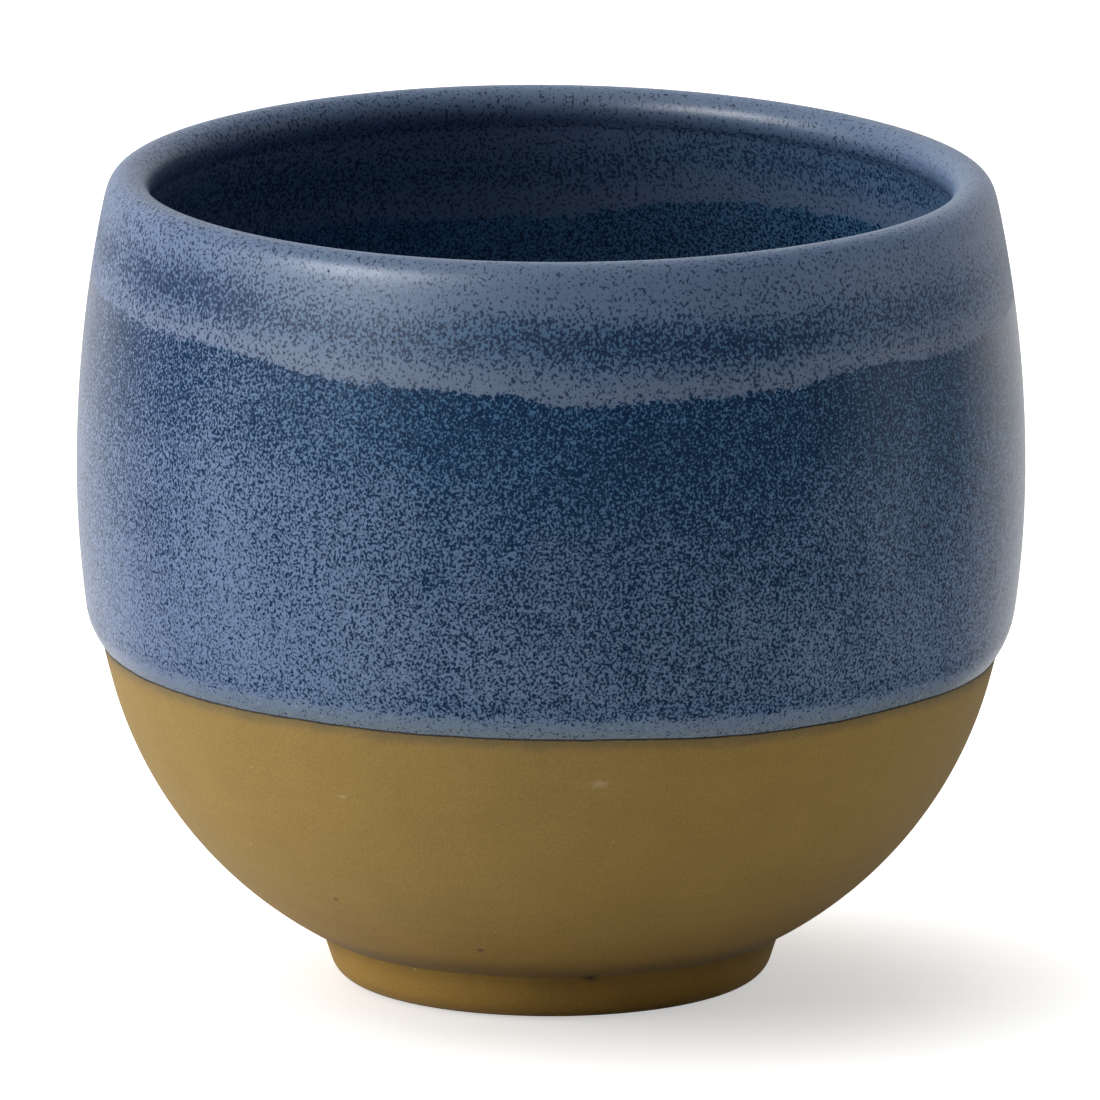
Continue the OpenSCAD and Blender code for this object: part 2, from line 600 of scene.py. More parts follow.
def circle_meeting(a: np.ndarray, a_radius: float, b: np.ndarray, b_radius: float) -> np.ndarray:
    """Point where two circles meet, on the left of the line from one middle to the other.

    Args:
        a: Middle of the first circle.
        a_radius: Its radius.
        b: Middle of the second circle.
        b_radius: Its radius.

    Returns:
        The point.
    """
    gap = float(np.linalg.norm(b - a))
    along = (b - a) / gap
    foot = (gap + (a_radius - b_radius) * (a_radius + b_radius) / gap) / 2
    return a + along * foot + np.array((-along[1], along[0])) * math.sqrt(a_radius * a_radius - foot * foot)


def arc(middle: np.ndarray, radius: float, start: float, end: float, step: float) -> np.ndarray:
    """Points along an arc.

    Args:
        middle: Middle of the arc.
        radius: Its radius.
        start: Angle of its first point.
        end: Angle of its last point.
        step: Distance between the points.

    Returns:
        Points of radius and height.
    """
    count = max(LEAST_ARC_POINTS, math.ceil(abs(end - start) * radius / step) + 1)
    angle = np.linspace(start, end, count)
    return np.column_stack((middle[0] + radius * np.cos(angle), middle[1] + radius * np.sin(angle)))


def joined(runs: list[np.ndarray]) -> np.ndarray:
    """Joins lines that follow each other.

    Args:
        runs: The lines.

    Returns:
        One line without doubled points.
    """
    line = np.vstack(runs)
    keep = np.ones(len(line), bool)
    keep[1:] = np.linalg.norm(np.diff(line, axis=0), axis=1) > SAME_POINT
    return line[keep]


@dataclass
class TurnedPiece:
    """A piece that is turned round the cup's axis from its half section."""

    section: Section
    name: str = "piece"
    node: str = "node"
    slot: Slot = Slot.STONEWARE
    ending: Ending = Ending.RING
    segments: int = 384
    step: float = 0.0004
    hidden_step: float = 0.0025
    sharp_deg: float = 40.0

    def profile(self) -> np.ndarray:
        """Points of radius and height round the half section."""
        raise NotImplementedError

    def warp(self, radius: np.ndarray, height: np.ndarray, turn: np.ndarray) -> tuple[np.ndarray, np.ndarray]:
        """Lets the lip settle unevenly, as drying and firing leave it.

        Args:
            radius: Radius of each point.
            height: Its height.
            turn: Its turn round the cup, in radians.

        Returns:
            The new radius and height.
        """
        cup = self.section
        share = smooth((height - cup.belly_z) / (cup.clay_h - cup.belly_z))
        return radius, height + wander(cup.lip_waves, turn) * share

    def mesh(self) -> bpy.types.Mesh:
        """Turns the half section into a closed mesh.

        Returns:
            The mesh.
        """
        line = self.profile()
        turn = np.arange(self.segments) * 2 * math.pi / self.segments
        poles = self.ending is Ending.AXIS
        body = line[1:-1] if poles else line
        radius, height = (np.repeat(body[:, i:i + 1], self.segments, axis=1) for i in (0, 1))
        radius, height = self.warp(radius, height, turn[None, :])
        corners = np.stack((radius * np.sin(turn), -radius * np.cos(turn), height), axis=-1).reshape(-1, 3)
        rows = len(body)
        index = np.arange(rows * self.segments).reshape(rows, self.segments)
        after = np.roll(index, -1, axis=1)
        upper = np.roll(index, -1, axis=0), np.roll(after, -1, axis=0)
        last = rows - 1 if poles else rows
        faces = np.stack((index, after, upper[1], upper[0]), axis=-1)[:last].reshape(-1, 4).tolist()
        if poles:
            first, end = len(corners), len(corners) + 1
            corners = np.vstack((corners, (0, 0, line[0, 1]), (0, 0, line[-1, 1])))
            faces += [(first, b, a) for a, b in zip(index[0], after[0])]
            faces += [(end, a, b) for a, b in zip(index[-1], after[-1])]
        made = bpy.data.meshes.new(self.name)
        made.from_pydata(corners.tolist(), [], faces)
        made.update()
        made.shade_smooth()
        made.set_sharp_from_angle(angle=math.radians(self.sharp_deg))
        return made

    def build(self, finish: bpy.types.Material) -> bpy.types.Object:
        """Adds the piece to the scene in the place of its node.

        Args:
            finish: The material of the piece.

        Returns:
            The piece.
        """
        piece = bpy.data.objects.new(self.name, self.mesh())
        bpy.context.scene.collection.objects.link(piece)
        piece.data.materials.append(finish)
        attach(piece, BODY)
        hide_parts(self.node)
        return piece


@dataclass
class Bowl(TurnedPiece):
    """The clay bowl: bare below the glaze, covered above it and inside."""

    name: str = "turned_bowl"
    node: str = "clay_bowl"
    ending: Ending = Ending.AXIS
    step: float = 0.0005

    def profile(self) -> np.ndarray:
        """From the middle of the underside, out, up to the lip and down to the middle of the floor.

        Returns:
            Points of radius and height.
        """
        cup = self.section
        count = round(cup.foot_r / self.step)
        flat = np.column_stack((np.linspace(0.0, cup.foot_r, count), np.full(count, cup.foot_h)))
        return joined([flat, cup.outside(0.0, cup.foot_h, self.step), cup.inside(0.0, 0.0, self.hidden_step)])


@dataclass
class Foot(TurnedPiece):
    """The foot ring under the bowl."""

    name: str = "turned_foot"
    node: str = "foot_ring"
    width: float = 0.0061
    rounding: float = 0.0026
    inner_rounding: float = 0.0008
    taper: float = 0.0007
    draft: float = 0.0006
    side_points: int = 12
    flat_points: int = 6

    def touching(self, crease: np.ndarray, middle: np.ndarray, radius: float, turn: int) -> np.ndarray:
        """Point where the line from the crease touches the round edge.

        Args:
            crease: Point where the side meets the bowl.
            middle: Middle of the round edge.
            radius: Radius of the round edge.
            turn: 1 for the outer side and -1 for the inner one.

        Returns:
            The point.
        """
        gap = float(np.linalg.norm(middle - crease))
        along = (middle - crease) / gap
        run = math.sqrt(gap * gap - radius * radius)
        return crease + (along * run + np.array((-along[1], along[0])) * radius * turn) * run / gap

    def profile(self) -> np.ndarray:
        """From the inner crease down, over the resting flat, and up to the outer crease.

        Returns:
            Points of radius and height.
        """
        cup = self.section
        outer = np.array((cup.foot_r, cup.foot_h))
        inner = np.array((cup.foot_r - self.width, cup.foot_h))
        edge = np.array((cup.foot_r - self.taper - self.rounding, self.rounding))
        inner_edge = np.array((inner[0] + self.draft + self.inner_rounding, self.inner_rounding))
        side = self.touching(outer, edge, self.rounding, 1)
        inner_side = self.touching(inner, inner_edge, self.inner_rounding, -1)
        start = math.atan2(*(inner_side - inner_edge)[::-1]) % (2 * math.pi)
        end = math.atan2(*(side - edge)[::-1])
        share = np.linspace(0.0, 1.0, self.side_points)[:, None]
        flat = np.linspace(inner_edge[0], edge[0], self.flat_points)
        return joined([
            inner + (inner_side - inner) * share,
            arc(inner_edge, self.inner_rounding, start, 1.5 * math.pi, self.step / 2),
            np.column_stack((flat, np.zeros(self.flat_points))),
            arc(edge, self.rounding, -math.pi / 2, end, self.step / 2),
            side + (outer - side) * share,
        ])


@dataclass
class OutsideCoat(TurnedPiece):
    """The outer glaze, from its rolled lower edge up under the second dip."""

    name: str = "outside_glaze"
    node: str = "outer_glaze"
    slot: Slot = Slot.BLUE_GLAZE
    wave_reach: float = 0.007

    def profile(self) -> np.ndarray:
        """From the tip of the rolled edge up, under the dip to the crest, and down on the clay.

        Returns:
            Points of radius and height.
        """
        cup = self.section
        run = cup.run(self.step)
        shown = cup.outside(cup.glaze_t, cup.belly_z, self.step)
        shown = shown[shown[:, 1] <= cup.lap_z]
        lap = np.array([lap_point(cup, coat) for coat in (cup.glaze_t, cup.first_t)])
        under = cup.outside(cup.first_t, cup.belly_z, self.hidden_step)
        under = under[under[:, 1] > cup.lap_z]
        back = cup.outside(0.0, cup.glaze_z, self.hidden_step)[::-1]
        return joined([run, shown, lap, under, back[:-1]])

    def warp(self, radius: np.ndarray, height: np.ndarray, turn: np.ndarray) -> tuple[np.ndarray, np.ndarray]:
        """Lets the lower edge wander, as the glaze ran a little further at some places than at others.

        Args:
            radius: Radius of each point.
            height: Its height.
            turn: Its turn round the cup, in radians.

        Returns:
            The new radius and height.
        """
        cup = self.section
        share = smooth(1 - (height - cup.glaze_z) / self.wave_reach)
        moved = height + wander(cup.edge_waves, turn) * share
        low = height < cup.belly_z
        stands = np.where(low, radius - cup.clay_radius(np.minimum(height, cup.belly_z)), 0.0)
        fitted = np.where(low, cup.clay_radius(np.minimum(moved, cup.belly_z)) + stands, radius)
        return super().warp(fitted, moved, turn)


@dataclass
class LipCoat(TurnedPiece):
    """The second dip of glaze over the lip."""

    name: str = "lip_glaze"
    node: str = "rim_glaze"
    slot: Slot = Slot.RIM_GLAZE
    step: float = 0.0003
    lip_rounds: int = 16
    crease_rounds: int = 3
    fade_points: int = 10

    def profile(self) -> np.ndarray:
        """Up the outside from the lap, over the lip, down to the lap inside, and back under the dip.

        Returns:
            Points of radius and height.
        """
        cup = self.section
        up = cup.outside(cup.glaze_t, cup.lap_z, self.step)
        shown = joined([up, cup.inside(cup.glaze_t, cup.lap_z, self.step)])
        fade = np.clip((len(up) - np.arange(len(shown))) / self.fade_points + 1, 0, 1)[:, None]
        shown = eased(shown + (eased(shown, self.lip_rounds) - shown) * fade, self.crease_rounds)
        back = joined([cup.outside(cup.first_t, cup.lap_z, self.hidden_step),
                       cup.inside(cup.first_t, cup.lap_z, self.hidden_step)])[::-1]
        return joined([shown, back])


@dataclass
class InsideCoat(TurnedPiece):
    """The glaze inside the cup."""

    name: str = "inside_glaze"
    node: str = "inner_glaze"
    slot: Slot = Slot.BLUE_GLAZE
    ending: Ending = Ending.AXIS
    step: float = 0.0005

    def profile(self) -> np.ndarray:
        """From the middle of the floor up to the lap, under the dip to the crest, and back on the clay.

        Returns:
            Points of radius and height.
        """
        cup = self.section
        shown = cup.inside(cup.glaze_t, 0.0, self.step)
        shown = shown[shown[:, 1] <= cup.lap_z][::-1]
        lap = np.array([lap_point(cup, -cup.wall_t - coat) for coat in (cup.glaze_t, cup.first_t)])
        under = cup.inside(cup.first_t, cup.lap_z, self.hidden_step)[:-1][::-1]
        return joined([shown, lap, under, cup.inside(0.0, 0.0, self.hidden_step)])


def lap_point(cup: Section, offset: float) -> tuple[float, float]:
    """Point at the height of the lap, at a distance from the outside of the clay."""
    reach = cup.upper_r + offset
    return cup.upper_c[0] + math.sqrt(reach * reach - (cup.lap_z - cup.belly_z) ** 2), cup.lap_z


def eased(line: np.ndarray, rounds: int) -> np.ndarray:
    """Softens the corners of a line, as glaze softens an edge.

    Args:
        line: The line, whose ends stay.
        rounds: How often each point moves half way to the middle of its neighbours.

    Returns:
        The softer line.
    """
    for _ in range(rounds):
        line = np.vstack((line[:1], (line[:-2] + 2 * line[1:-1] + line[2:]) / 4, line[-1:]))
    return line


def turn_of(x: Value, y: Value) -> Value:
    """Turn of a point round the cup, in degrees from the viewer's side."""
    return x.math("ARCTAN2", x, -y) * math.degrees(1.0)


def edge_height(turn: Value, cup: Section) -> Value:
    """Height of the lower edge of the outer glaze.

    Args:
        turn: Turn round the cup, in degrees.
        cup: The section of the cup.

    Returns:
        The height in millimetres.
    """
    angle = turn * math.radians(1.0)
    waves = [(angle * count + phase).cosine() * (size * PER_MM) for count, size, phase in cup.edge_waves]
    return sum(waves, cup.glaze_z * PER_MM)


@dataclass
class GlazePlace:
    """Where a point of the glaze lies, as values that the layers of the finish share.

    The value `outer` is 1 outside the cup and 0 inside, `high` is the height over the lap, and `above` is 1
    over the lap and 0 below. The value `sway` is how far the lap wanders, and `smear` the dip's unevenness.
    """

    recipe: Recipe
    point: bpy.types.NodeSocket
    z: Value
    turn: Value
    outer: Value
    high: Value
    above: Value
    sway: Value
    smear: Value


@dataclass(frozen=True)
class BlueGlaze:
    """Satin blue glaze: dark flecks on a grey-blue ground, thick or thin by zone, with more flecks inside on
    the left as painted shade and a lavender tint on the outside's left side as painted sheen.

    Heights are in millimetres, over the table or over the lap. Turns are in degrees from the viewer's side.
    """

    name: str
    section: Section
    ground: Colour = (0.126, 0.188, 0.302)
    deep: Colour = (0.040, 0.128, 0.238)
    fleck: Colour = (0.0034, 0.0215, 0.0650)
    ink: Colour = (0.0044, 0.0240, 0.0780)
    upper: Colour = (0.103, 0.156, 0.256)
    # Painted sheen: a lavender tint that stands in for the grazing reflection on the outside's left side.
    left_sheen_tint: Colour = (0.152, 0.184, 0.296)
    band: Colour = (0.115, 0.162, 0.246)
    edge: Colour = (0.154, 0.192, 0.236)
    hollow: Colour = (0.076, 0.176, 0.310)
    hole: Colour = (0.003, 0.005, 0.009)

    side_ramp: Ramp = Ramp(-0.9, 0.9)
    lap_ramp: Ramp = Ramp(-0.25, 0.25)
    lap_sway: Cloud = Cloud(0.30, 1.4)
    lap_fray: Cloud = Cloud(2.4, 1.7)
    lap_range: tuple[float, float] = (61.0, 66.5)
    lap_outside: Points = (
        (-180, 63.2), (-150, 62.9), (-115, 64.6), (-90, 65.0), (-66, 64.6), (-55, 64.4), (-41, 64.3),
        (-32, 63.5), (-24, 63.25), (-15, 63.0), (-6, 62.9), (0, 61.9), (6, 61.75), (12, 61.9), (20, 62.0),
        (30, 62.2), (40, 62.9), (60, 62.6), (76, 62.8), (105, 63.4), (140, 64.1), (180, 63.2),
    )
    lap_inside: Points = (
        (-180, 61.9), (-150, 62.2), (-120, 63.0), (-80, 62.6), (-40, 63.3), (0, 62.6), (45, 63.2),
        (90, 64.3), (124, 64.5), (135, 64.3), (153, 64.2), (173, 62.3), (180, 61.9),
    )

    dark_range: tuple[float, float] = (0.0, 0.9)
    dark_by_turn: Points = (
        (-180, 0.46), (-90, 0.48), (-60, 0.45), (-35, 0.36), (-12, 0.59), (8, 0.64), (30, 0.63),
        (50, 0.58), (75, 0.58), (120, 0.50), (180, 0.46),
    )
    # Painted shade: more flecks on the inside of the first coat towards the left, where the inner wall lies
    # in shade.
    inside_left_shade: Hump = Hump(-100.0, 60.0, 0.25)
    gather_ramp: Ramp = Ramp(15.0, 1.0)
    gather_outside: float = 0.36
    gather_anywhere: float = 0.06
    thin_ramp: Ramp = Ramp(13.0, 29.0, 0.26)
    clouds: Cloud = Cloud(0.11, 0.5, 3.0, 0.55)
    runs: Cloud = Cloud(1.0, 0.35, 2.0, stretch=(0.30, 0.30, 0.05))

    streak_range: tuple[float, float] = (0.0, 1.5)
    streak_by_turn: Points = (
        (-180, 0.80), (-120, 0.60), (-85, 0.80), (-70, 0.90), (-54, 1.30), (-40, 1.05), (-28, 0.85),
        (-13, 1.05), (0, 1.30), (12, 1.40), (22, 1.40), (33, 1.10), (45, 0.75), (55, 0.85), (75, 0.70),
        (120, 0.90), (180, 0.80),
    )
    smear: Cloud = Cloud(1.0, 3.2, 3.0, stretch=(0.16, 0.16, 0.75))
    belt: Hump = Hump(4.3, 3.6)
    belt_rise: Hump = Hump(5.0, 26.0)
    belt_smear: float = 0.5
    belt_tint: float = 0.55
    brim_turn: Hump = Hump(-62.0, 50.0)
    brim_ramp: Ramp = Ramp(5.4, 7.4)
    brim_flecks: float = 0.35
    brim_tint: float = 0.3
    upper_bare: float = 0.47
    upper_smear: float = 0.25
    upper_zones: tuple[Hump, ...] = (Hump(22.0, 30.0, 0.16), Hump(-58.0, 48.0, 0.38), Hump(48.0, 34.0, 0.20))
    # Painted shade: more flecks on the inside of the second dip towards the left, where the inner wall lies
    # in shade.
    upper_inside_left_shade: Hump = Hump(-115.0, 75.0, 0.70)
    crest_ramp: Ramp = Ramp(69.5, 72.5, 0.30)
    pool: Hump = Hump(70.7, 0.55, 0.7)
    pool_sway: float = 0.4

    edge_fray: Cloud = Cloud(1.6, 1.3, 3.0)
    strip_ramp: Ramp = Ramp(2.3, 1.2)
    strip_bare: float = 0.55
    strip_tint: float = 0.6
    seam: Hump = Hump(3.0, 1.4, 0.10)
    bead_ramp: Ramp = Ramp(1.1, 0.4)

    grain: Cloud = Cloud(4.4, 1.0, 1.0, 0.5, 0.3, (1.0, 1.0, 0.88))
    grain_depth: float = 7.0
    grain_calm: Hump = Hump(-66.0, 55.0, 2.2)
    spots: Cloud = Cloud(3.8, 9.5, 1.0, 0.5, 0.3, (1.0, 1.0, 0.85))
    fleck_share: float = 0.98
    holes: Specks = Specks(0.70, 0.13, 0.42, 0.97)
    band_ramp: Ramp = Ramp(2.9, 1.3)
    band_smear: float = 0.35
    deep_ramp: Ramp = Ramp(0.22, 1.00, 0.85)
    deep_calm: Hump = Hump(-70.0, 55.0, 0.6)
    # Where the painted lavender sheen tint lies: the left side of the outside.
    left_sheen_turn: Hump = Hump(-74.0, 50.0, 0.5)
    tone: Cloud = Cloud(0.5, 0.20, 3.0)

    rough: float = 0.26
    rough_upper: float = 0.15
    rough_holes: float = 0.2
    rough_cloud: Cloud = Cloud(1.2, 0.10, 3.0)
    relief_cloud: Cloud = Cloud(1.1, 0.6, 3.0)
    relief_grain: float = 0.25
    relief_holes: float = 0.8
    relief_depth: float = 0.00005
    ior: float = 1.45

    def locate(self, recipe: Recipe) -> GlazePlace:
        """Works out where a point lies: its turn, the side of the wall, and its height over the lap.

        Args:
            recipe: The tree that takes the nodes.

        Returns:
            The place of the point.
        """
        cup = self.section
        point = recipe.place()
        x, y, z = recipe.split(point)
        turn = turn_of(x, y)
        lift = z - cup.belly_z * PER_MM
        wall_r = (cup.upper_r - cup.wall_t / 2) * PER_MM
        middle = (wall_r * wall_r - lift * lift).root() + cup.upper_c[0] * PER_MM
        outer = self.side_ramp.of((x * x + y * y).root() - middle)
        sway = self.lap_sway.over(recipe, point) + self.lap_fray.over(recipe, point)
        inside, outside = (turn.along(lap, *self.lap_range) for lap in (self.lap_inside, self.lap_outside))
        high = z - (inside + (outside - inside) * outer) - sway
        smear = self.smear.over(recipe, point)
        return GlazePlace(recipe, point, z, turn, outer, high, self.lap_ramp.of(high), sway, smear)

    def flecks_below(self, at: GlazePlace) -> Value:
        """Share of flecks on the first coat: most under the lap, fewer further down, and more inside on the
        left as painted shade.

        Args:
            at: The place of the point.

        Returns:
            The share.
        """
        depth = -at.high
        gathered = self.gather_ramp.of(depth) * (at.outer * self.gather_outside + self.gather_anywhere)
        share = at.turn.along(self.dark_by_turn, *self.dark_range) + gathered - self.thin_ramp.of(depth)
        share = share + self.clouds.over(at.recipe, at.point) + self.runs.over(at.recipe, at.point)
        # Painted shade: extra flecks inside on the left.
        return share + (1 - at.outer) * self.inside_left_shade.of(at.turn)

    def flecks_above(self, at: GlazePlace, belt: Value, brim: Value) -> Value:
        """Share of flecks on the second dip: a dark belt, a thin dark line inside below the crest, and more
        inside on the left as painted shade.

        Args:
            at: The place of the point.
            belt: Strength of the belt.
            brim: Strength of the dark part of the brim.

        Returns:
            The share.
        """
        inner = 1 - at.outer
        zones = sum(zone.of(at.turn) for zone in self.upper_zones)
        share = belt - self.upper_bare + zones + at.smear * self.upper_smear + brim * self.brim_flecks
        # Painted shade: extra flecks inside on the left, on the second dip.
        share = share - self.crest_ramp.of(at.z) + inner * self.upper_inside_left_shade.of(at.turn)
        return share + inner * self.pool.of(at.z + at.sway * self.pool_sway)

    def ground_colour(self, at: GlazePlace, deep: Value, strip: Value, bead: Value) -> bpy.types.NodeSocket:
        """Colour of the glaze between the flecks, with a painted sheen tint on the left side of the outside.

        Args:
            at: The place of the point.
            deep: Strength of the deep blue where the flecks are dense.
            strip: Strength of the pale strip along the lower edge.
            bead: Strength of the pale roll at the lower edge.

        Returns:
            The colour.
        """
        recipe = at.recipe
        band = at.above * at.outer * self.band_ramp.of(at.high + at.smear * self.band_smear)
        colour = recipe.mix(1 - at.outer, self.ground, self.hollow)
        for share, shade in (
            (at.above, self.upper),
            (band, self.band),
            (deep, self.deep),
            (strip * self.strip_tint, self.edge),
            (bead, self.edge),
            # Painted sheen: lavender tint on the left side of the outside.
            (self.left_sheen_turn.of(at.turn) * at.outer, self.left_sheen_tint),
        ):
            colour = recipe.mix(share, colour, shade)
        tone = recipe.grey(self.tone.over(recipe, at.point) + 1.0)
        return recipe.mix(1.0, colour, tone, "MULTIPLY")

    def material(self) -> bpy.types.Material:
        """Makes the finish.

        Returns:
            The material.
        """
        made = bpy.data.materials.new(self.name)
        recipe = Recipe(made)
        at = self.locate(recipe)
        streak = at.turn.along(self.streak_by_turn, *self.streak_range)
        belt = self.belt.of(at.high + at.smear * self.belt_smear - self.belt_rise.of(at.turn)) * streak
        brim = self.brim_turn.of(at.turn) * self.brim_ramp.of(at.high)

        over_edge = at.z - edge_height(at.turn, self.section)
        rise = over_edge + self.edge_fray.over(recipe, at.point)
        strip = self.strip_ramp.of(rise) * at.outer
        below = self.flecks_below(at)
        below = below - strip * (below + self.strip_bare) + self.seam.of(rise) * at.outer
        density = below + (self.flecks_above(at, belt, brim) - below) * at.above

        grain = self.grain.over(recipe, at.point)
        below_grain = grain * (self.grain_depth - self.grain_calm.of(at.turn))
        above_grain = self.spots.over(recipe, at.point)
        flecks = (density + below_grain + (above_grain - below_grain) * at.above).clamp()
        holes = self.holes.over(recipe, at.point) * at.above

        deep = self.deep_ramp.of(density) * (1 - at.above) * (1 - self.deep_calm.of(at.turn))
        deep = deep + (belt * self.belt_tint + brim * self.brim_tint).clamp() * at.above
        ground = self.ground_colour(at, deep, strip, self.bead_ramp.of(over_edge) * at.outer)
        colour = recipe.mix(flecks * self.fleck_share, ground, recipe.mix(at.above, self.fleck, self.ink))
        colour = recipe.mix(holes * self.holes.amount, colour, self.hole)

        rough = self.rough + at.above * self.rough_upper + self.rough_cloud.over(recipe, at.point)
        relief = self.relief_cloud.over(recipe, at.point) + grain * self.relief_grain
        recipe.surface(
            colour,
            rough + holes * self.rough_holes,
            relief - holes * self.relief_holes,
            self.relief_depth,
            {"IOR": self.ior},
        )
        return made


@dataclass(frozen=True)
class BareClay:
    """Bare stoneware: fine matt olive-brown grain with turning lines, pale grits, a few firing marks, a
    warmer tone towards the foot, and painted shade in the crease over the foot and partly along the glaze
    edge.

    A mark is its turn in degrees, its height in millimetres, and how far it reaches in both.
    """

    name: str
    section: Section
    ground: Colour = (0.296, 0.189, 0.0420)
    deep: Colour = (0.231, 0.143, 0.0300)
    # Multiplies the clay towards the foot: a warmer, more saturated tone, with less blue.
    foot_tone: Colour = (1.06, 0.95, 0.55)
    grit: Colour = (0.56, 0.47, 0.30)
    pit: Colour = (0.05, 0.032, 0.014)
    # Painted shade: dark warm colour of the soft band along the crease over the foot.
    crease_shade: Colour = (0.105, 0.064, 0.012)
    stain: Colour = (0.060, 0.058, 0.045)
    # Dark colour of the firing marks, and of the line along the glaze edge, which is partly a stain and
    # partly painted crevice shadow.
    dark_marks_and_edge_shade: Colour = (0.008, 0.009, 0.010)

    grain: Cloud = Cloud(4.5, 1.0, 2.0, 0.6)
    blotch: Cloud = Cloud(0.16, 1.0, 3.0, 0.55)
    rings: Cloud = Cloud(1.0, 1.0, 4.0, 0.6, stretch=(0.05, 0.05, 1.6))
    tone_middle: float = 0.5
    tone_grain: float = 2.2
    tone_blotch: float = 0.8
    tone_rings: float = 0.5
    foot_ramp: Ramp = Ramp(8.0, -0.8)
    foot_blotch: float = 2.5
    # Painted shade: a soft dark band along the crease where the bowl meets the foot.
    crease: Hump = Hump(0.4, 2.4, 0.55)
    crease_blotch: float = 1.5
    grits: Specks = Specks(0.55, 0.075, 0.40, 0.6)
    large_grits: Specks = Specks(0.20, 0.032, 0.50, 0.8)
    pits: Specks = Specks(0.62, 0.07, 0.26, 0.6, (1.0, 1.0, 1.3))
    ragged: Cloud = Cloud(2.2, 1.6)
    spots: Marks = (
        (9.8, 4.2, 3.0, 0.60), (-13.9, 8.0, 0.9, 0.32), (-38.0, 12.5, 0.7, 0.25), (141.0, 16.0, 1.0, 0.30),
    )
    spot_depth: float = 0.75
    scuffs: Marks = ((6.2, 26.4, 2.0, 0.62), (-29.0, 24.0, 0.9, 0.30), (-162.0, 21.0, 1.6, 0.50))
    scuff_depth: float = 0.32
    halo_ramp: Ramp = Ramp(1.7, -0.2, 0.60)
    halo_fray: Cloud = Cloud(0.45, 1.0, 3.0)
    # Dark line along the glaze edge: partly a stain, partly painted shadow of the crevice under the glaze's
    # rolled edge.
    edge_line_and_shade_ramp: Ramp = Ramp(0.24, 0.10, 0.9)
    line_fray: Cloud = Cloud(1.5, 0.20)

    rough: float = 0.85
    rough_grain: float = 0.1
    relief_grain: float = 0.6
    relief_rings: float = 0.4
    relief_grits: float = 0.4
    relief_pits: float = 0.6
    relief_depth: float = 0.00006
    ior: float = 1.4
    sheen: float = 0.07
    sheen_rough: float = 0.5

    def material(self) -> bpy.types.Material:
        """Makes the finish.

        Returns:
            The material.
        """
        made = bpy.data.materials.new(self.name)
        recipe = Recipe(made)
        place = recipe.place()
        x, y, z = recipe.split(place)
        turn = turn_of(x, y)
        low = z - self.section.foot_h * PER_MM
        gap = edge_height(turn, self.section) - z
        grain, blotch, rings = (cloud.over(recipe, place) for cloud in (self.grain, self.blotch, self.rings))
        grits, large_grits, pits = (
            specks.over(recipe, place) for specks in (self.grits, self.large_grits, self.pits)
        )

        tone = self.tone_middle + grain * self.tone_grain + blotch * self.tone_blotch
        colour = recipe.mix((tone + rings * self.tone_rings).clamp(), self.ground, self.deep)
        foot = self.foot_ramp.of(low + blotch * self.foot_blotch)
        # Warmer, more saturated tone towards the foot.
        colour = recipe.mix(foot, colour, self.foot_tone, "MULTIPLY")
        layers = [
            # Painted shade along the crease over the foot.
            (self.crease.of(low + blotch * self.crease_blotch), self.crease_shade),
            (grits * self.grits.amount, self.grit),
            (large_grits * self.large_grits.amount, self.grit),
            (pits * self.pits.amount, self.pit),
        ]
        ragged = self.ragged.over(recipe, place)
        for marks, shade, depth in (
            (self.spots, self.dark_marks_and_edge_shade, self.spot_depth),
            (self.scuffs, self.grit, self.scuff_depth),
        ):
            for at, height, wide, tall in marks:
                mark = (turn + ragged * wide).near(at, wide) * (z + ragged * tall).near(height, tall)
                layers.append((mark * depth, shade))
        layers.append((self.halo_ramp.of(gap + self.halo_fray.over(recipe, place)), self.stain))
        # Dark line along the glaze edge, partly stain and partly painted crevice shadow.
        layers.append((self.edge_line_and_shade_ramp.of(gap + self.line_fray.over(recipe, place)), self.dark_marks_and_edge_shade))
        for share, shade in layers:
            colour = recipe.mix(share, colour, shade)

        relief = grain * self.relief_grain + rings * self.relief_rings + grits * self.relief_grits
        recipe.surface(
            colour,
            self.rough + grain * self.rough_grain,
            relief - pits * self.relief_pits,
            self.relief_depth,
            {"IOR": self.ior, "Sheen Weight": self.sheen, "Sheen Roughness": self.sheen_rough},
        )
        return made


@dataclass(frozen=True)
class Lamp:
    """A soft lamp that faces the cup: where it stands, seen from there, and its size and watts."""

    name: str
    direction: Place
    distance: float
    size: tuple[float, float]
    power: float


@dataclass(frozen=True)
class Patch:
    """A soft-edged part of the surroundings: its strength, and the axes along which it fades in."""

    amount: float
    fades: tuple[tuple[Axis, float, float], ...]

    def over(self, look: tuple[Value, Value, Value]) -> Value:
        """Strength of the patch in a direction.

        Args:
            look: The direction.

        Returns:
            The strength.
        """
        level = self.amount
        for axis, low, high in self.fades:
            level = look[axis.value].above(low, high) * level
        return level


